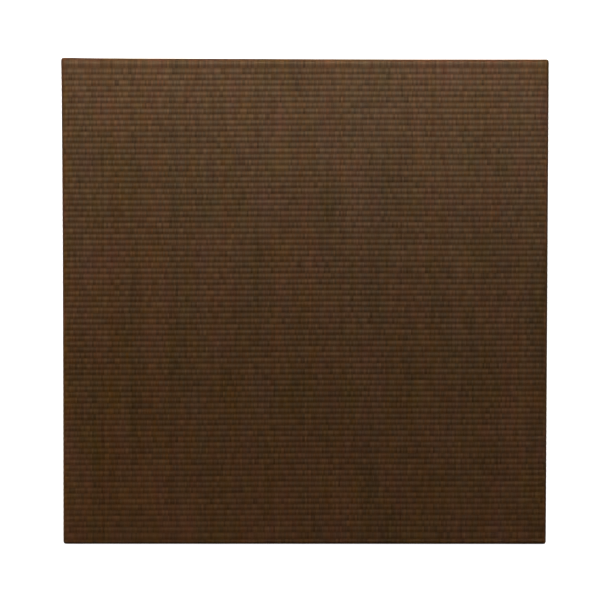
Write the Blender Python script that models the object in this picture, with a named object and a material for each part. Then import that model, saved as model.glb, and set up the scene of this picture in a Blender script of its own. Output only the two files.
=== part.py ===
"""A square tatami with no cloth border.

One rush facing, woven in even ribs, lies over a flat mat, turns over its four edges and comes down
its sides, which swell a little. The ribs run along X and are counted across Y. The origin is the
middle of the underside.
"""

import math
import random

import bmesh
import bpy

# Driving sizes, in metres.
SIDE = 0.823            # each side of the square, over the swell of its sides
THICKNESS = 0.025       # floor to the crests of the ribs
LIP_RADIUS = 0.0015     # round where the cloth turns down at the edge of the face
SIDE_LEAN = 68.0        # degrees from flat at which a side first runs down
SIDE_SWELL = 0.0045     # how far a side swells out past the flat of the face before it is upright
CORNER_ROUND = 0.0009   # how far a corner draws back, each way, from a true square
RIB_COUNT = 84          # full ribs on the flat of the face
RIB_PITCH = 0.0096      # groove to groove along the cloth, the same on the face and on the sides
RIB_RELIEF = 0.0009     # groove to crest
EDGE_PRESS = 0.6        # share of the relief that is pulled flat where a rib turns down
NEAR_GROOVE = -0.400    # first groove that lies flat on the face, counted from -Y

# How uneven the hand of the loom leaves the ribs.
CREST_DROP = 0.00018    # most that a crest lies under its neighbours
RIB_WANDER = 0.00015    # most that one rib strays sideways along its length
COURSE = (-0.0014, -0.0009, 0.0004, 0.0006, 0.0013)     # all ribs together, from the -X edge to +X
COURSE_EASE = 0.020     # how far above the foot of a side the ribs begin to run true
WEAVE_SEED = 41

# Steps of the surface.
RIB_STEPS = 4                             # faces round one rib
LIP_STEPS = 2                             # faces round the lip of a folded edge
INNER_STATIONS = (-0.205, 0.0, 0.205)     # places along X where a rib may change its height
SHARPEST_SMOOTH = 50.0                    # degrees between two faces that still shade as one

RUSH_BROWN = (0.064, 0.030, 0.012, 1.0)
RUSH_ROUGHNESS = 0.62

HALF = SIDE / 2
FLAT = HALF - SIDE_SWELL


def clear_scene():
    for thing in list(bpy.data.objects):
        bpy.data.objects.remove(thing, do_unlink=True)


def side_section():
    """A side from the flat of the face to the floor, as steps of (length, out, height, turn)."""
    lean = math.radians(SIDE_LEAN)
    section = [(0.0, FLAT, THICKNESS, 0.0)]
    for step in range(1, LIP_STEPS + 1):
        turn = lean * step / LIP_STEPS
        out = FLAT + LIP_RADIUS * math.sin(turn)
        height = THICKNESS - LIP_RADIUS * (1.0 - math.cos(turn))
        section.append((LIP_RADIUS * turn, out, height, turn))
    length, out, height, _ = section[-1]
    length += (HALF - out) / math.cos(lean)
    height -= (HALF - out) * math.tan(lean)
    section.append((length, HALF, height, math.pi / 2))
    section.append((length + height, HALF, 0.0, math.pi / 2))
    return section


SECTION = side_section()
CLOTH_HALF = FLAT + SECTION[-1][0]


def over_edge(cloth):
    """Where a distance along the cloth, from its middle, comes to lie: out, height and turn."""
    past = abs(cloth) - FLAT
    if past <= 0.0:
        return cloth, THICKNESS, 0.0
    for one, other in zip(SECTION, SECTION[1:]):
        if past <= other[0]:
            break
    share = min((past - one[0]) / (other[0] - one[0]), 1.0)
    out, height, turn = (low + (high - low) * share for low, high in zip(one[1:], other[1:]))
    return math.copysign(out, cloth), height, math.copysign(turn, cloth)


def rib_depth(share):
    """Depth under the crest, for a share of the way from one groove to the next."""
    return RIB_RELIEF * (1.0 - math.sin(math.pi * share))


def rows_across():
    """Every row of the facing, from the floor at -Y, over the top, to the floor at +Y.

    A row is (cloth, depth): its distance along the cloth, and how deep it lies under the crests.
    """
    step_length = RIB_PITCH / RIB_STEPS
    first = math.ceil((-CLOTH_HALF - NEAR_GROOVE) / step_length + 0.4)
    last = math.floor((CLOTH_HALF - NEAR_GROOVE) / step_length - 0.4)
    rows = [(-CLOTH_HALF, 0.0)]
    for step in range(first, last + 1):
        rows.append((NEAR_GROOVE + step * step_length, rib_depth(step % RIB_STEPS / RIB_STEPS)))
    rows.append((CLOTH_HALF, 0.0))
    return rows


def stations_along():
    """The distances along the cloth, from -X to +X, where the facing is cut."""
    right = [FLAT + part[0] for part in SECTION[:-1]]
    left = [-station for station in reversed(right)]
    return [*left, *INNER_STATIONS, *right]


def course(station):
    """How far all the ribs together lie off their true line at a station."""
    marks = (-HALF, *INNER_STATIONS, HALF)
    place = max(-HALF, min(HALF, station))
    for low, high, one, other in zip(marks, marks[1:], COURSE, COURSE[1:]):
        if place <= high:
            return one + (other - one) * (place - low) / (high - low)
    return COURSE[-1]


def facing_point(station, row, drop, wander):
    """A point of the facing, where one station along the ribs meets one row across them."""
    cloth, depth = row
    along, along_height, along_turn = over_edge(station)
    across, across_height, across_turn = over_edge(cloth + wander)
    both = abs(math.sin(along_turn) * math.sin(across_turn))
    pulled = max(abs(math.sin(along_turn)), abs(math.sin(across_turn)))
    sink = (depth + drop) * (1.0 - EDGE_PRESS * pulled) * (1.0 - both)
    corner = CORNER_ROUND * both ** 2
    x = along - sink * math.sin(along_turn) - math.copysign(corner, along)
    y = across - sink * math.sin(across_turn) - math.copysign(corner, across)
    z = along_height * across_height / THICKNESS
    return x, y, z - sink * math.cos(along_turn) * math.cos(across_turn)


def loom_marks(rng):
    """For each rib at one station, how low its crest lies and how far it strays sideways."""
    marks = []
    for _ in range(RIB_COUNT + 2):
        marks.append((rng.uniform(0.0, CREST_DROP), rng.uniform(-RIB_WANDER, RIB_WANDER)))
    return marks


def rib_number(cloth):
    """The rib that a row belongs to, with zero for the one that turns down along the -Y edge."""
    half_step = 0.5 / RIB_STEPS
    number = math.floor((cloth - NEAR_GROOVE) / RIB_PITCH + half_step) + 1
    return min(max(number, 0), RIB_COUNT + 1)


def facing_grid(mesh, stations, rows):
    """Rows of vertices over the top and down the two sides that are parallel to the ribs."""
    rng = random.Random(WEAVE_SEED)
    grid = []
    for station in stations:
        marks = loom_marks(rng)
        column = []
        for row in rows:
            ease = min(1.0, (CLOTH_HALF - abs(row[0])) / COURSE_EASE)
            drop, wander = marks[rib_number(row[0])]
            if abs(station) >= FLAT or abs(row[0]) >= FLAT:
                drop, wander = 0.0, 0.0
            column.append(mesh.verts.new(facing_point(station, row, drop, wander + course(station) * ease)))
        grid.append(column)
    for left, right in zip(grid, grid[1:]):
        for low in range(len(rows) - 1):
            mesh.faces.new((left[low], right[low], right[low + 1], left[low + 1]))
    return grid


def end_wall(mesh, edge, rows, sign):
    """The side that the ribs run down to: one face a row, and a fan at each end past the flat."""
    first = sum(1 for cloth, _ in rows if cloth < -FLAT) - 1
    last = len(rows) - sum(1 for cloth, _ in rows if cloth > FLAT)
    feet = {first: edge[0], last: edge[-1]}
    for index in range(first + 1, last):
        feet[index] = mesh.verts.new((sign * HALF, edge[index].co.y, 0.0))
    for index in range(first + 1, last - 1):
        mesh.faces.new((edge[index], edge[index + 1], feet[index + 1], feet[index]))
    for low in range(first + 1):
        mesh.faces.new((edge[low], edge[low + 1], feet[first + 1]))
    for low in range(last - 1, len(edge) - 1):
        mesh.faces.new((edge[low], edge[low + 1], feet[last - 1]))
    return [feet[index] for index in range(first, last + 1)]


def underside(mesh, grid, left_feet, right_feet):
    """The flat face on the floor, in strips from one end wall to the other."""
    for low in range(1, len(left_feet) - 2):
        mesh.faces.new((left_feet[low], left_feet[low + 1], right_feet[low + 1], right_feet[low]))
    near_foot = [column[0] for column in grid]
    far_foot = [column[-1] for column in grid]
    mesh.faces.new(near_foot + [right_feet[1], left_feet[1]])
    mesh.faces.new(far_foot + [right_feet[-2], left_feet[-2]])


def rush_material():
    material = bpy.data.materials.new("dyed_rush")
    material.use_nodes = True
    shader = material.node_tree.nodes["Principled BSDF"]
    shader.inputs["Base Color"].default_value = RUSH_BROWN
    shader.inputs["Roughness"].default_value = RUSH_ROUGHNESS
    shader.inputs["Metallic"].default_value = 0.0
    material.diffuse_color = RUSH_BROWN
    return material


def tatami_mat():
    rows = rows_across()
    mesh = bmesh.new()
    grid = facing_grid(mesh, stations_along(), rows)
    left_feet = end_wall(mesh, grid[0], rows, -1)
    right_feet = end_wall(mesh, grid[-1], rows, 1)
    underside(mesh, grid, left_feet, right_feet)
    bmesh.ops.triangulate(mesh, faces=mesh.faces)
    bmesh.ops.recalc_face_normals(mesh, faces=mesh.faces)
    data = bpy.data.meshes.new("tatami_mat")
    mesh.to_mesh(data)
    mesh.free()
    data.shade_smooth()
    data.set_sharp_from_angle(angle=math.radians(SHARPEST_SMOOTH))
    data.materials.append(rush_material())
    mat = bpy.data.objects.new("tatami_mat", data)
    bpy.context.scene.collection.objects.link(mat)
    return mat


clear_scene()
tatami_mat()
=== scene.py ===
"""A square tatami with no cloth border, lying face up on a pale floor.

One rush facing shows, woven in even ribs and turned down over all four edges. The sections follow
the mat as it is put together: the woven facing, its hem under the mat, the plain underside, and
then the floor, the lights and the camera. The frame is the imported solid's: metres, +Z up out of the
woven face, +X along the ribs, and the origin in the middle of the underside.
"""

import math

import bmesh
import bpy
import numpy as np
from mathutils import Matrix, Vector


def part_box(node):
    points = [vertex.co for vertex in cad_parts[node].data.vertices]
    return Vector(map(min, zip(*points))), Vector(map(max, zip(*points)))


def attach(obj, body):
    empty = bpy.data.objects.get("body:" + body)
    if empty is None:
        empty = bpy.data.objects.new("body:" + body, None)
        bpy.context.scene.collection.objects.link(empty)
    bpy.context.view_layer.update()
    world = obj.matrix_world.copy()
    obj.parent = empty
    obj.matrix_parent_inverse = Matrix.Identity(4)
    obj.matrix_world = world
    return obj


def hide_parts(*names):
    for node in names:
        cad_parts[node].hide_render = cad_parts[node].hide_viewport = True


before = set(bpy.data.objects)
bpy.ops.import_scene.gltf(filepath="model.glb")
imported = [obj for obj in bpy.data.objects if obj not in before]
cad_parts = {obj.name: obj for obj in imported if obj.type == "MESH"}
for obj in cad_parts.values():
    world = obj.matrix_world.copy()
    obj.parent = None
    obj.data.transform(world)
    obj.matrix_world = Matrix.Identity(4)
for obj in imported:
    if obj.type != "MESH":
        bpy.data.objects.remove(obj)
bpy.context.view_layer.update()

# ----------------------------------------------------------------------------------------------
# The facing is one cloth of dark dyed rush, woven over hidden warp strings. Each rush shows on
# every second rib only, so a rib is a row of plump strands, set half a strand aside from the next
# rib's. The cloth is drawn tight over the mat and turned down over its edges. Its strips meet in
# grooves and only keep each mesh small.
# ----------------------------------------------------------------------------------------------

node_low, node_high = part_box("tatami_mat")
HALF = node_high.x + 0.0007      # middle of the mat to its edge, a little proud of the solid's
THICKNESS = node_high.z          # floor to the crests of the ribs
ROLL_WIDTH = 0.0070              # the rim of the face, which falls away gently to the edge
ROLL_TURN = 11.0                 # degrees from flat that the rim has reached at the edge
LIP_RADIUS = 0.0013              # round where the cloth turns down at the edge
SIDE_SWELL = 0.0049              # how far the sides swell out past that edge
SIDE_LEAN = 69.0                 # degrees from flat at which they first run down
SHOULDER_RADIUS = 0.004          # round where a leaning side becomes upright
FOOT_RADIUS = 0.0015             # round where the cloth turns under the mat

RIB_PITCH = 0.0096               # groove to groove
RIB_RELIEF = 0.0009              # groove to crest
NEAR_GROOVE = -0.400             # last groove that lies flat at the -Y edge
RIBS_UNDER = 4                   # ribs past that groove, over the fold and down to the foot
RIB_SHARES = (0.0, 0.25, 0.5, 0.75)   # where a rib has its rows, from groove to groove
FOLD_ROWS = 12                   # rows on a rib where it folds
ROW_CLEARANCE = 0.05             # least share of a rib between a row and the ends of a fold
RIB_UNEVEN = 0.00012             # how far the crests rise and fall along a rib
UNEVEN_LENGTHS = (0.11, 0.05)    # how long that rise and fall is, along the ribs and across them
EDGE_PRESS = 0.6                 # share of the relief that is pulled flat where a rib turns down
RIB_WANDER = 0.00012             # how far a groove strays from its neighbours
WANDER_LENGTHS = (0.30, 0.12)    # how long its wander is, along the ribs and across them

STRAND_PITCH = 0.0015            # one visible rush to the next along a rib
STRAND_RELIEF = 0.00032          # the valley between two strands
STRAND_JITTER = 0.17             # share by which strands differ in width
STRAND_UNEVEN = 0.00013          # how much lower a thin strand lies than a thick one
THIN_SHARE = 0.6                 # the part of that which a strand keeps from rib to rib
TIP_OVERLAP = 0.05               # share of a rib by which strands reach in between the next rib's

STRIPS = 6                       # pieces that the cloth is made in, side by side
BAKE_LENGTHS = 3                 # lengths that a strip is laid out in on its bake map
BAKE_MARGIN = 0.006              # share of the map that is left free round each
WEAVE_SEED = 41

# How far the ribs lie off their true line, all together, by the place along them.
COURSE = (
    (-0.41, -0.0014), (-0.18, -0.0008), (-0.06, 0.0000), (0.05, 0.0005), (0.27, 0.0006), (0.41, 0.0013),
)
# How far each rib lies off the even count, by its place across the mat.
CREEP = (
    (-0.415, -0.0019), (-0.400, -0.0018), (-0.388, 0.0005), (-0.22, 0.0005), (-0.064, -0.0005),
    (0.05, -0.0016), (0.28, -0.0020), (0.395, -0.0023), (0.4064, 0.0035), (0.43, 0.0),
)
CREEP_SOFTEN = 0.001             # how far that line is smoothed to each side of a place
COURSE_EASE = 0.020              # how far above its foot the cloth begins to run true
CORNER_ROUND = 0.0003            # how far a corner draws back, each way, from a true square

# How far the outline stands proud of the true square, by the place along each edge.
EDGE_REACH = 0.060               # how far in from an edge its outline is felt
LEFT_EDGE = (
    (-0.41, 0.0000), (-0.15, -0.0004), (0.08, -0.0005), (0.25, 0.0001), (0.36, 0.0006), (0.41, 0.0013),
)
FAR_EDGE = (
    (-0.41, 0.0016), (-0.37, 0.0007), (-0.28, 0.0003), (0.0, -0.0001), (0.2, -0.0003), (0.41, 0.0002),
)
NEAR_SWELL = 0.0008              # how much further the near side swells than the others
SWELL_DEPTH = 0.012              # how far under the face it has reached its full width

FOLD_START = HALF - SIDE_SWELL - ROLL_WIDTH
PROFILE_POINTS = 900             # points on the side's section


def side_profile():
    """The section of a side, from the flat of the face to the foot: length, out, height, turn, tuck.

    It has a gentle roll, a tight lip, a slope down to the full swell, an upright stretch and the
    foot's round. The first value is how far along the cloth the upright stretch begins.
    """
    roll, lean, upright = math.radians(ROLL_TURN), math.radians(SIDE_LEAN), math.pi / 2
    lip_out = LIP_RADIUS * (math.sin(lean) - math.sin(roll))
    shoulder_out = SHOULDER_RADIUS * (1 - math.sin(lean))
    slope = (SIDE_SWELL - lip_out - shoulder_out) / math.cos(lean)
    rolled = [ROLL_WIDTH, LIP_RADIUS * (lean - roll), slope, SHOULDER_RADIUS * (upright - lean)]
    drop = ROLL_WIDTH * math.sin(roll / 2) + LIP_RADIUS * (math.cos(roll) - math.cos(lean))
    drop = drop + slope * math.sin(lean) + SHOULDER_RADIUS * math.cos(lean)
    stretches = [*rolled, THICKNESS - drop - FOOT_RADIUS, FOOT_RADIUS * upright]
    ends = np.concatenate([[0.0], np.cumsum(stretches)])
    length = np.linspace(0.0, ends[-1], PROFILE_POINTS)
    step = length[1]
    turn = np.interp(length - step / 2, ends, [0.0, roll, lean, lean, upright, upright, math.pi])
    reached = FOLD_START + np.cumsum(np.cos(turn)) * step - step
    height = THICKNESS - np.cumsum(np.sin(turn)) * step
    out = np.maximum.accumulate(reached)
    return FOLD_START + ends[4], (FOLD_START + length, out, height, turn, out - reached)


FOLD_END, SIDE = side_profile()
CLOTH_HALF = SIDE[0][-1]

rng = np.random.default_rng(WEAVE_SEED)


def over_edge(cloth):
    """Where distances along the cloth, from its middle, come to lie: out, height, turn, tuck.

    The cloth runs flat, then down the side. Turn is its angle from flat, and tuck is how far the
    foot's round draws it back under the mat.
    """
    past = np.abs(cloth)
    side = np.sign(cloth)
    length, out, height, turn, tuck = SIDE
    flat = past < FOLD_START
    out = np.where(flat, past, np.interp(past, length, out))
    height, turn, tuck = (np.interp(past, length, values) for values in (height, turn, tuck))
    return side * out, height, side * turn, side * tuck


def rib_place(cloth):
    """The rib count at a distance along the cloth, with its share of the way over that rib."""
    return (cloth - NEAR_GROOVE) / RIB_PITCH + RIBS_UNDER


def cloth_at(rib):
    return NEAR_GROOVE + (rib - RIBS_UNDER) * RIB_PITCH


def rib_rows():
    """The rows of the cloth, as rib counts: a few on a rib, and more where it folds."""
    ends = rib_place(np.array([-CLOTH_HALF, -FOLD_END, FOLD_END, CLOTH_HALF]))
    ribs = np.arange(math.ceil(ends[-1]) + 1)[:, None]
    fine = np.arange(FOLD_ROWS) / FOLD_ROWS
    plain = (ribs + np.array(RIB_SHARES)).ravel()
    folded = (ribs + fine).ravel()
    folded = folded[(np.abs(cloth_at(folded)) > FOLD_START) & (np.abs(cloth_at(folded)) < FOLD_END)]
    rows = np.unique(np.round(np.concatenate([plain, folded]), 6))
    rows = rows[(rows > ends[0]) & (rows < ends[-1])]
    clear = np.abs(rows[:, None] - ends[None, :]).min(axis=1) > ROW_CLEARANCE
    return np.sort(np.concatenate([rows[clear], ends]))


def strand_columns():
    """The columns of the cloth: the middle and the edge of each strand, none quite alike."""
    count = 2 * round(2 * CLOTH_HALF / STRAND_PITCH)
    widths = 1 + STRAND_JITTER * rng.uniform(-1, 1, count)
    columns = np.concatenate([[0.0], np.cumsum(widths)])
    columns = (columns / columns[-1] * 2 - 1) * CLOTH_HALF
    for edge in (-FOLD_END, FOLD_END):
        columns[np.abs(columns - edge).argmin()] = edge
    return columns


def waves(x, y, lengths, count):
    """A slow, uneven swell over the cloth, between -1 and 1: a few sine waves laid together."""
    total = 0.0
    for _ in range(count):
        along_x, along_y = rng.uniform(0.6, 1.6, 2) * rng.choice((-1, 1), 2)
        phase = rng.uniform(0, 2 * math.pi)
        total = total + np.sin(2 * math.pi * (along_x * x / lengths[0] + along_y * y / lengths[1]) + phase)
    return total / count


def along_line(place, line, soften=0.012):
    """How far an edge or a rib lies off at each place, smoothed between the line's points."""
    places, off = zip(*line)
    near = [np.interp(place + shift, places, off) for shift in (-soften, 0.0, soften)]
    return sum(near) / len(near)


class Cloth:
    """The facing as one grid of points, row by row across the ribs and column by column along them."""

    def __init__(self):
        self.rows = rib_rows()
        self.columns = strand_columns()
        self.ribs = np.floor(self.rows + 1e-6).astype(int)
        self.shares = np.clip(self.rows - self.ribs, 0, 1)
        self.points = self.laid_points()

    def laid_points(self):
        ribs = self.ribs[:, None]
        shares = self.shares[:, None]
        strands = np.arange(len(self.columns))[None, :]
        lift = np.sin(math.pi * shares) ** 2
        valley = (strands + ribs) % 2 == 0

        along = self.columns[None, :]
        across = cloth_at(self.rows)[:, None] + 0 * along
        groove = (shares < 1e-6) * TIP_OVERLAP * RIB_PITCH
        flat = np.abs(across) < FOLD_START
        across = across + np.where(valley, groove, -groove) * flat
        ease = np.clip((CLOTH_HALF - np.abs(across)) / COURSE_EASE, 0, 1)
        across = across + RIB_WANDER * waves(along, across, WANDER_LENGTHS, 6) * flat
        across = across + (along_line(along, COURSE) + along_line(across, CREEP, CREEP_SOFTEN)) * ease

        thin = STRAND_UNEVEN * rng.uniform(0, 1, (1, len(self.columns)))
        bump = STRAND_UNEVEN * rng.uniform(0, 1, (self.ribs.max() + 1, len(self.columns)))[self.ribs]
        crest = np.where(valley, STRAND_RELIEF, THIN_SHARE * thin + (1 - THIN_SHARE) * bump)
        swell = RIB_UNEVEN * (1 + waves(along, across, UNEVEN_LENGTHS, 8))
        sink = RIB_RELIEF * (1 - lift) + crest * lift + swell

        x_out, x_height, x_turn, x_tuck = over_edge(along)
        y_out, y_height, y_turn, y_tuck = over_edge(across)
        pulled = np.maximum(np.abs(np.sin(x_turn)), np.abs(np.sin(y_turn)))
        both = np.abs(np.sin(x_turn) * np.sin(y_turn))
        sink = sink * (1 - EDGE_PRESS * pulled) * (1 - both)
        corner = CORNER_ROUND * both ** 2
        x = x_out - x_tuck * np.abs(np.cos(y_turn)) - sink * np.sin(x_turn) - corner * np.sign(x_out)
        y = y_out - y_tuck * np.abs(np.cos(x_turn)) - sink * np.sin(y_turn) - corner * np.sign(y_out)
        z = x_height * y_height / THICKNESS - sink * np.cos(x_turn) * np.cos(y_turn)
        return self.drawn_out_of_square(x, y, z)

    def drawn_out_of_square(self, x, y, z):
        """The edges as the hand left them, a little proud here and slack there."""
        near_left = np.clip((x + HALF) / EDGE_REACH, 0, 1)
        near_far = np.clip((HALF - y) / EDGE_REACH, 0, 1)
        near_near = np.clip((HALF + y) / EDGE_REACH, 0, 1)
        left = along_line(y, LEFT_EDGE) * (1 - near_left) ** 2
        far = along_line(x, FAR_EDGE) * (1 - near_far) ** 2
        near = NEAR_SWELL * np.clip((THICKNESS - z) / SWELL_DEPTH, 0, 1) * (1 - near_near) ** 2
        return np.stack([x - left, y + far - near, z], axis=-1)

    def strip(self, name, first, last):
        """The part of the cloth from one row to another, as a mesh of its own."""
        width = len(self.columns)
        low = np.arange(first, last)[:, None]
        left = np.arange(width - 1)[None, :]
        row_middle = np.abs(cloth_at((self.rows[low] + self.rows[low + 1]) / 2))
        column_middle = np.abs((self.columns[left] + self.columns[left + 1]) / 2)
        kept = (row_middle < FOLD_END) | (column_middle < FOLD_END)
        low, left = (whole[kept] for whole in np.broadcast_arrays(low, left))
        corner_rows = np.stack([low, low, low + 1, low + 1], axis=-1)
        corner_columns = np.stack([left, left + 1, left + 1, left], axis=-1)
        numbers = corner_rows * width + corner_columns
        used, loops = np.unique(numbers, return_inverse=True)

        mesh = bpy.data.meshes.new(name)
        mesh.vertices.add(len(used))
        mesh.vertices.foreach_set("co", self.points.reshape(-1, 3)[used].astype(np.float32).ravel())
        mesh.loops.add(loops.size)
        mesh.loops.foreach_set("vertex_index", loops.astype(np.int32).ravel())
        mesh.polygons.add(len(numbers))
        mesh.polygons.foreach_set("loop_start", np.arange(0, loops.size, 4, dtype=np.int32))
        mesh.update(calc_edges=True)
        self.crease(mesh, used // width, used % width)
        self.write_weave_map(mesh, corner_rows, corner_columns, low)
        self.write_bake_map(mesh, corner_rows, corner_columns, left, first, last)
        mesh.validate()
        self.even_seams(mesh, used // width, used % width, first, last)
        return mesh

    def crease(self, mesh, row_of, column_of):
        """Sharp edges in the valleys between strands."""
        pairs = np.zeros(len(mesh.edges) * 2, np.int32)
        mesh.edges.foreach_get("vertices", pairs)
        one, other = pairs.reshape(-1, 2).T
        row = np.minimum(row_of[one], row_of[other])
        in_valley = (row_of[one] != row_of[other]) & ((column_of[one] + self.ribs[row]) % 2 == 0)
        mesh.shade_smooth()
        sharp = mesh.attributes.new("sharp_edge", "BOOLEAN", "EDGE")
        sharp.data.foreach_set("value", in_valley)

    def even_seams(self, mesh, row_of, column_of, first, last):
        """The grooves where strips meet shade like the others: as level, where they lie flat."""
        at_seam = ((row_of == first) & (first > 0)) | ((row_of == last) & (last < len(self.rows) - 1))
        flat = np.abs(self.columns[column_of]) < FOLD_START
        facing_up = np.zeros((len(row_of), 3))
        facing_up[at_seam & flat] = (0, 0, 1)
        mesh.normals_split_custom_set_from_vertices(facing_up.tolist())

    def write_weave_map(self, mesh, corner_rows, corner_columns, low):
        """A map that counts strands one way and ribs the other, for the rush's colours."""
        upper = corner_rows != low[:, None]
        on_groove = upper & (self.shares[corner_rows] < 1e-6)
        rib = np.where(on_groove, self.ribs[low][:, None] + 1.0, self.rows[corner_rows])
        places = np.stack([corner_columns / 2, rib], axis=-1)
        layer = mesh.uv_layers.new(name="weave")
        layer.data.foreach_set("uv", places.astype(np.float32).ravel())

    def write_bake_map(self, mesh, corner_rows, corner_columns, left, first, last):
        """A map that fills its square: the strip is laid out in lengths, one over another."""
        last_column = len(self.columns) - 1
        length = np.minimum(left * BAKE_LENGTHS // last_column, BAKE_LENGTHS - 1)[:, None]
        start = np.ceil(length * last_column / BAKE_LENGTHS)
        stop = np.ceil((length + 1) * last_column / BAKE_LENGTHS)
        across = (corner_columns - start) / (stop - start)
        low, high = cloth_at(self.rows[[first, last]])
        up = (cloth_at(self.rows[corner_rows]) - low) / (high - low)
        u = BAKE_MARGIN + (1 - 2 * BAKE_MARGIN) * across
        v = (length + BAKE_MARGIN + (1 - 2 * BAKE_MARGIN) * up) / BAKE_LENGTHS
        layer = mesh.uv_layers.new(name="OFBake")
        layer.data.foreach_set("uv", np.stack([u, v], axis=-1).astype(np.float32).ravel())


class Wire:
    """A value or colour inside a material. Python's own operators on it add the Math nodes."""

    def __init__(self, socket):
        self.socket = socket
        self.tree = socket.id_data

    @staticmethod
    def node(tree, kind, settings, inputs, output=0):
        """A new node. Its settings are made first, a ramp's stops among them, then its sockets."""
        made = tree.nodes.new("ShaderNode" + kind)
        for name, value in settings.items():
            if name == "stops":
                ramp = made.color_ramp.elements
                while len(ramp) < len(value):
                    ramp.new(1.0)
                for stop, (place, colour) in zip(ramp, value):
                    stop.position = place
                    stop.color = (*colour, 1.0)
            else:
                setattr(made, name, value)
        for name, value in inputs.items():
            if isinstance(value, Wire):
                tree.links.new(value.socket, made.inputs[name])
            else:
                made.inputs[name].default_value = value
        return Wire(made.outputs[output])

    def maths(self, operation, *values):
        return Wire.node(self.tree, "Math", {"operation": operation}, dict(enumerate(values)))

    def __add__(self, other):
        return self.maths("ADD", self, other)

    def __sub__(self, other):
        return self.maths("SUBTRACT", self, other)

    def __rsub__(self, other):
        return self.maths("SUBTRACT", other, self)

    def __mul__(self, other):
        return self.maths("MULTIPLY", self, other)

    def __mod__(self, other):
        return self.maths("FLOORED_MODULO", self, other)

    def __pow__(self, other):
        return self.maths("POWER", self, other)

    __radd__ = __add__
    __rmul__ = __mul__

    def cosine(self):
        return self.maths("COSINE", self)

    def floor(self):
        return self.maths("FLOOR", self)


def place(tree, x, y, z=0.0):
    """Three values as one place, for a noise to read."""
    return Wire.node(tree, "CombineXYZ", {}, {"X": x, "Y": y, "Z": z})


def luck(tree, spot):
    """Three even chances, from 0 to 1, that belong to one spot of the weave."""
    colour = Wire.node(tree, "TexWhiteNoise", {"noise_dimensions": "3D"}, {"Vector": spot}, "Color")
    return [Wire.node(tree, "SeparateColor", {}, {"Color": colour}, channel) for channel in range(3)]


def noise(tree, spot, scale, detail=2.0):
    """A cloudy pattern, mostly from 0.3 to 0.7."""
    sockets = {"Vector": spot, "Scale": scale, "Detail": detail}
    return Wire.node(tree, "TexNoise", {"noise_dimensions": "3D"}, sockets)


def new_material(name):
    material = bpy.data.materials.new(name)
    material.use_nodes = True
    return material, material.node_tree, material.node_tree.nodes["Principled BSDF"]


def feed(tree, shader, sockets):
    for name, value in sockets.items():
        if isinstance(value, Wire):
            tree.links.new(value.socket, shader.inputs[name])
        else:
            shader.inputs[name].default_value = value


# Rush after dyeing, as shares of red, green and blue. Some strands and patches lean to red or to
# straw, and some away from them. The grooves have painted shade: the colour is made darker and
# redder down in them.
RUSH_BROWN = (0.0512, 0.0206, 0.0063)
RED_LEAN = (0.07, -0.06, 0.0)
STRAW_LEAN = (0.0, 0.03, -0.46)
# painted shade in the grooves, taken off red, green and blue, blue most
PAINTED_GROOVE_SHADE = (0.13, 0.17, 0.22)
BUNDLE_SHARE = 0.42              # one over how many strands side by side came out of the dye alike


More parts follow.
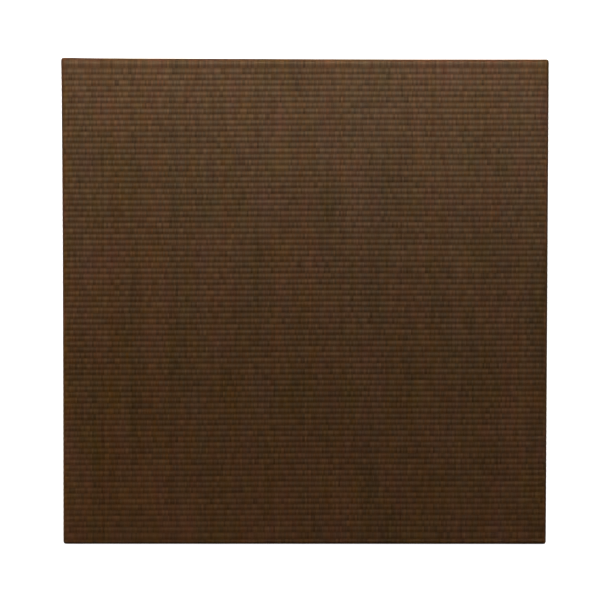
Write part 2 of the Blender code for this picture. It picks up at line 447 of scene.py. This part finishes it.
def dyed_rush():
    """Rush, dyed dark brown, with a waxy skin on the crests. The dye took differently on each strand."""
    material, tree, shader = new_material("dyed_rush")
    weave = Wire.node(tree, "UVMap", {"uv_map": "weave"}, {})
    strand = Wire.node(tree, "SeparateXYZ", {}, {"Vector": weave}, "X")
    rib_count = Wire.node(tree, "SeparateXYZ", {}, {"Vector": weave}, "Y")
    rib = rib_count.floor()
    along = rib_count - rib
    odd = rib % 2
    lane_count = strand + odd * 0.5
    lane = lane_count.floor()
    across = lane_count - lane

    # Chance: of each strand, of each bundle of strands, and of each bundle where it shows on a rib.
    pair = (lane * BUNDLE_SHARE).floor()
    dye, hue, shine = luck(tree, place(tree, lane, odd, 0.0))
    pair_dye, pair_hue, pair_shine = luck(tree, place(tree, pair, odd, 5.0))
    bump_dye, bump_hue, bump_shine = luck(tree, place(tree, pair, rib, 7.0))

    # Clouds: along one strand, over a few strands and ribs, and over wide patches of the cloth.
    drift = noise(tree, place(tree, lane * 7.31, rib_count * 0.08, odd * 3.7 + 0.5), 1.0, 0.0) - 0.5
    bundle = noise(tree, place(tree, strand * 0.3, rib_count * 0.45, odd * 5 + 0.5), 1.0, 1.0) - 0.5
    patch = noise(tree, place(tree, strand * 0.03, rib_count * 0.05, 3.0), 1.0) - 0.5
    red_family = noise(tree, place(tree, strand * 0.11, rib_count * 0.12, 9.0), 1.0) - 0.5
    straw_family = noise(tree, place(tree, strand * 0.08, rib_count * 0.12, 29.0), 1.0) - 0.5
    column = noise(tree, place(tree, strand * 0.05, rib_count * 0.008, 17.0), 1.0) - 0.5
    fibre = noise(tree, place(tree, strand * 7.0, rib_count * 0.5, 1.0), 1.0, 3.0) - 0.5

    red = (hue - 0.5) * 0.4 + (pair_hue - 0.5) * 0.4 + (bump_hue - 0.5) * 0.3
    red = red + red_family * 5 + patch * 2 + column * 3
    straw = (pair_shine - 0.5) * 0.4 + (bump_shine - 0.5) * 0.3 + straw_family * 5 - patch * 2 + column * 2

    # 1 in a groove or a valley, and 0 on a crest or the middle of a strand.
    groove = (along * (2 * math.pi)).cosine() * 0.5 + 0.5
    valley = (across * 2 - 1) ** 2
    bright = 1 + (dye - 0.5) * 0.15 + (pair_dye - 0.5) * 0.2 + (bump_dye - 0.5) * 0.55
    bright = bright + drift * 0.25 + bundle * 0.5 + patch * 0.5
    # Painted shade: the colour is made darker in the valleys between strands.
    bright = (bright + fibre * 0.2) * (1 - valley * 0.15)
    shares = []
    # Painted shade: each channel is darkened towards the bottom of a groove, blue most, so it turns
    # redder.
    for tone, red_lean, straw_lean, groove_shade in zip(RUSH_BROWN, RED_LEAN, STRAW_LEAN, PAINTED_GROOVE_SHADE):
        shares.append((1 + red * red_lean + straw * straw_lean) * (1 - groove * groove_shade) * bright * tone)
    colour = Wire.node(tree, "CombineColor", {}, dict(zip(("Red", "Green", "Blue"), shares)))

    ridges = Wire.node(tree, "Bump", {}, {"Height": fibre, "Strength": 0.35, "Distance": 0.0002})
    wax = (1 - groove * 0.5) * (0.72 + (shine - 0.5) * 0.4 + (bump_shine - 0.5) * 0.5)
    feed(tree, shader, {
        "Base Color": colour,
        "Roughness": 0.5 + groove * 0.2 + fibre * 0.1,
        "Normal": ridges,
        "Specular IOR Level": 0.1,
        "Coat Weight": wax,
        "Coat Roughness": 0.5,
    })
    return material


rush = dyed_rush()
cloth = Cloth()


def strip_limits():
    """The rows where the strips meet, each in a groove."""
    grooves = np.flatnonzero(cloth.shares < 1e-6)
    shared = [grooves[round(part * (len(grooves) - 1) / STRIPS)] for part in range(1, STRIPS)]
    return [0, *shared, len(cloth.rows) - 1]


limits = strip_limits()
facing = []
for number, (first, last) in enumerate(zip(limits, limits[1:]), start=1):
    name = f"facing_strip_{number}"
    strip = bpy.data.objects.new(name, cloth.strip(name, first, last))
    strip.data.materials.append(rush)
    bpy.context.scene.collection.objects.link(strip)
    length = cloth_at(cloth.rows[last]) - cloth_at(cloth.rows[first])
    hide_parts("tatami_mat")
    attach(strip, "root")
    2 * CLOTH_HALF
    facing.append(strip)

# ----------------------------------------------------------------------------------------------
# The hem is the same cloth, turned under the mat on all four sides, mitred at the corners and
# pressed flat by the mat's weight. It is what the mat rests on.
# ----------------------------------------------------------------------------------------------

HEM_WIDTH = 0.030
HEM_THICKNESS = 0.0012           # floor to the board that the hem is folded over
HEM_RELIEF = 0.0003              # what is left of the ribs under the mat's weight
HEM_STEP = 0.0024                # a quarter of a rib


def hem(name, along_ribs, side):
    """One side's hem: a pressed strip of the weave, cut on the mitre at both ends."""
    foot = HALF - FOOT_RADIUS
    reach = np.arange(-foot, foot + HEM_STEP / 2, HEM_STEP)
    inwards = np.linspace(0, HEM_WIDTH, 1 + round(HEM_WIDTH / HEM_STEP))
    mesh = bmesh.new()
    weave = mesh.loops.layers.uv.new("weave")
    grid = []
    for inward in inwards:
        line = []
        for place_along in reach:
            out = side * (foot - inward)
            under = side * (CLOTH_HALF + inward)
            x, y = (place_along, out) if along_ribs else (out, place_along)
            strand = ((x if along_ribs else under) + CLOTH_HALF) / STRAND_PITCH
            rib = rib_place(under if along_ribs else y)
            lift = HEM_RELIEF * (1 - abs(math.sin(math.pi * rib)))
            line.append((mesh.verts.new((x, y, lift)), (strand, rib)))
        grid.append(line)
    for outer, inner in zip(grid, grid[1:]):
        for spot in range(len(reach) - 1):
            corners = (outer[spot], outer[spot + 1], inner[spot + 1], inner[spot])
            face = mesh.faces.new([vertex for vertex, _ in corners])
            face.smooth = True
            for loop, (_, marks) in zip(face.loops, corners):
                loop[weave].uv = marks
    for end in (-1, 1):
        cut = (end, -side, 0) if along_ribs else (-side, end, 0)
        corner = (end * foot, side * foot, 0) if along_ribs else (side * foot, end * foot, 0)
        whole = mesh.verts[:] + mesh.edges[:] + mesh.faces[:]
        bmesh.ops.bisect_plane(mesh, geom=whole, plane_co=corner, plane_no=cut, clear_outer=True)
    for face in mesh.faces:
        face.normal_update()
        if face.normal.z > 0:
            face.normal_flip()
    data = bpy.data.meshes.new(name)
    mesh.to_mesh(data)
    mesh.free()
    return bpy.data.objects.new(name, data)


for name, along_ribs, side in (
    ("hem_near", True, -1),
    ("hem_far", True, 1),
    ("hem_left", False, -1),
    ("hem_right", False, 1),
):
    strip = hem(name, along_ribs, side)
    strip.data.materials.append(rush)
    bpy.context.scene.collection.objects.link(strip)
    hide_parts("tatami_mat")
    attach(strip, "root")

# ----------------------------------------------------------------------------------------------
# The underside between the hems doesn't show in the picture, so it is finished plainly: the flat
# brown board that the facing is drawn over, a little higher than the hem.
# ----------------------------------------------------------------------------------------------

BOARD_DEPTH = 0.0015
BOARD_MARGIN = 0.012             # how far the board's face runs on over the hem's cut edge


def plain_board():
    half = HALF - FOOT_RADIUS - HEM_WIDTH + BOARD_MARGIN
    mesh = bmesh.new()
    bmesh.ops.create_grid(mesh, x_segments=24, y_segments=24, size=half)
    bmesh.ops.translate(mesh, verts=mesh.verts, vec=(0, 0, HEM_THICKNESS))
    sides = bmesh.ops.extrude_face_region(mesh, geom=mesh.faces[:])
    raised = [part for part in sides["geom"] if isinstance(part, bmesh.types.BMVert)]
    bmesh.ops.translate(mesh, verts=raised, vec=(0, 0, BOARD_DEPTH))
    bmesh.ops.recalc_face_normals(mesh, faces=mesh.faces)
    data = bpy.data.meshes.new("plain_underside")
    mesh.to_mesh(data)
    mesh.free()
    return bpy.data.objects.new("plain_underside", data)


def pressed_fibre():
    """Brown pressed fibre, soft and dull, with short darker hairs in it."""
    material, tree, shader = new_material("pressed_fibre")
    here = Wire.node(tree, "TexCoord", {}, {}, "Object")
    cloud = noise(tree, here, 60.0, 3.0)
    hairs = noise(tree, here, 900.0, 4.0)
    tone = cloud * 0.5 + hairs * 0.5
    stops = ((0.35, (0.060, 0.042, 0.028)), (0.65, (0.110, 0.082, 0.056)))
    colour = Wire.node(tree, "ValToRGB", {"stops": stops}, {"Fac": tone})
    felted = Wire.node(tree, "Bump", {}, {"Height": hairs, "Strength": 0.4, "Distance": 0.0003})
    feed(tree, shader, {
        "Base Color": colour,
        "Roughness": 0.82 + hairs * 0.1,
        "Normal": felted,
        "Specular IOR Level": 0.2,
    })
    return material


underside = plain_board()
underside.data.materials.append(pressed_fibre())
bpy.context.scene.collection.objects.link(underside)
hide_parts("tatami_mat")
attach(underside, "root")

# ----------------------------------------------------------------------------------------------
# The floor is a plain pale board, wide enough to reach the horizon. It isn't part of the mat.
# ----------------------------------------------------------------------------------------------

FLOOR_HALF = 60.0
FLOOR_DROP = 0.0002              # keeps the floor clear of the hem
FLOOR_GLOW = 0.95                # lit from below, as for a product picture, so that shadows stay faint


def pale_floor():
    mesh = bmesh.new()
    bmesh.ops.create_grid(mesh, x_segments=1, y_segments=1, size=FLOOR_HALF)
    data = bpy.data.meshes.new("floor")
    mesh.to_mesh(data)
    mesh.free()
    floor = bpy.data.objects.new("floor", data)
    floor.location.z = -FLOOR_DROP
    material, tree, shader = new_material("pale_floor")
    feed(tree, shader, {
        "Base Color": (0.30, 0.30, 0.30, 1.0),
        "Roughness": 0.9,
        "Specular IOR Level": 0.1,
        "Emission Color": (1.0, 1.0, 1.0, 1.0),
        "Emission Strength": FLOOR_GLOW,
    })
    data.materials.append(material)
    floor.visible_diffuse = False
    floor.visible_glossy = False
    bpy.context.scene.collection.objects.link(floor)
    return floor


pale_floor()

# ----------------------------------------------------------------------------------------------
# The light is soft. Matt lamps overhead, beyond the far edge and on the left pick out the ribs and
# the folds and leave no gloss. One long lamp with a grid, high beyond the far edge, gives the rush a
# sheen that fades towards the near edge. Small lamps lighten the rims and the four sides.
# ----------------------------------------------------------------------------------------------

FILL = 0.005                     # even light from all round


def soft_lamp(name, spot, target, size, power, beam=180.0, gloss=True):
    """A lamp behind a square or long sheet; a narrow beam, in degrees, means a grid in front of it."""
    lamp = bpy.data.lights.new(name, "AREA")
    lamp.shape = "RECTANGLE"
    lamp.size, lamp.size_y = size
    lamp.energy = power
    lamp.spread = math.radians(beam)
    thing = bpy.data.objects.new(name, lamp)
    thing.location = spot
    thing.rotation_euler = (Vector(target) - Vector(spot)).to_track_quat("-Z", "Y").to_euler()
    thing.visible_glossy = gloss
    bpy.context.scene.collection.objects.link(thing)
    return thing


sheen_lamp = soft_lamp("sheen_lamp", (0, 1.7, 3.0), (0, 0.36, 0), (3.2, 0.5), 7.0, beam=54)
sheen_lamp.data.color = (1.0, 1.0, 0.66)
soft_lamp("far_lamp", (0, 2.2, 1.0), (0, 0.1, 0), (2.8, 0.6), 34.0, gloss=False)
soft_lamp("left_lamp", (-3.5, 0.6, 1.8), (0, 0, 0), (1.0, 2.5), 36.0, gloss=False)
soft_lamp("ceiling_lamp", (0.6, 0.0, 3.0), (0.3, -0.1, 0), (1.8, 1.8), 28.0, gloss=False)
soft_lamp("far_rim_lamp", (0, 0.4, 2.6), (0, 0.62, 0), (2.4, 0.3), 1.8, beam=26, gloss=False)
soft_lamp("near_rim_lamp", (0, 0.9, 2.6), (0, -0.62, 0), (2.4, 0.3), 0.6, beam=16, gloss=False)
soft_lamp("far_side_lamp", (0, 0.8, 0.12), (0, 0.41, 0), (1.2, 0.1), 7.0, gloss=False)
soft_lamp("left_side_lamp", (-0.8, 0, 0.14), (-0.41, 0, 0), (1.2, 0.1), 3.6, gloss=False)
soft_lamp("right_side_lamp", (0.8, 0, 0.14), (0.41, 0, 0), (1.2, 0.1), 1.4, gloss=False)
soft_lamp("near_side_lamp", (0, -0.8, 0.12), (0, -0.41, 0), (1.2, 0.1), 0.6, gloss=False)
world = bpy.data.worlds.new("even_fill")
world.use_nodes = True
world.node_tree.nodes["Background"].inputs["Color"].default_value = (1.0, 1.0, 1.0, 1.0)
world.node_tree.nodes["Background"].inputs["Strength"].default_value = FILL
bpy.context.scene.world = world
bpy.context.scene.view_settings.view_transform = "Standard"

# ----------------------------------------------------------------------------------------------
# The camera hangs almost straight over the mat's middle, as in the picture.
# ----------------------------------------------------------------------------------------------

CAMERA_PLACE = (-0.0192, 0.0719, 2.4192)
CAMERA_TURN = (-1.613, -0.246, 0.081)   # degrees from looking straight down

camera = bpy.data.objects.new("camera", bpy.data.cameras.new("camera"))
camera.data.lens = 85.0
camera.data.sensor_width = 36.0
camera.location = CAMERA_PLACE
camera.rotation_euler = [math.radians(turn) for turn in CAMERA_TURN]
bpy.context.scene.collection.objects.link(camera)
bpy.context.scene.camera = camera
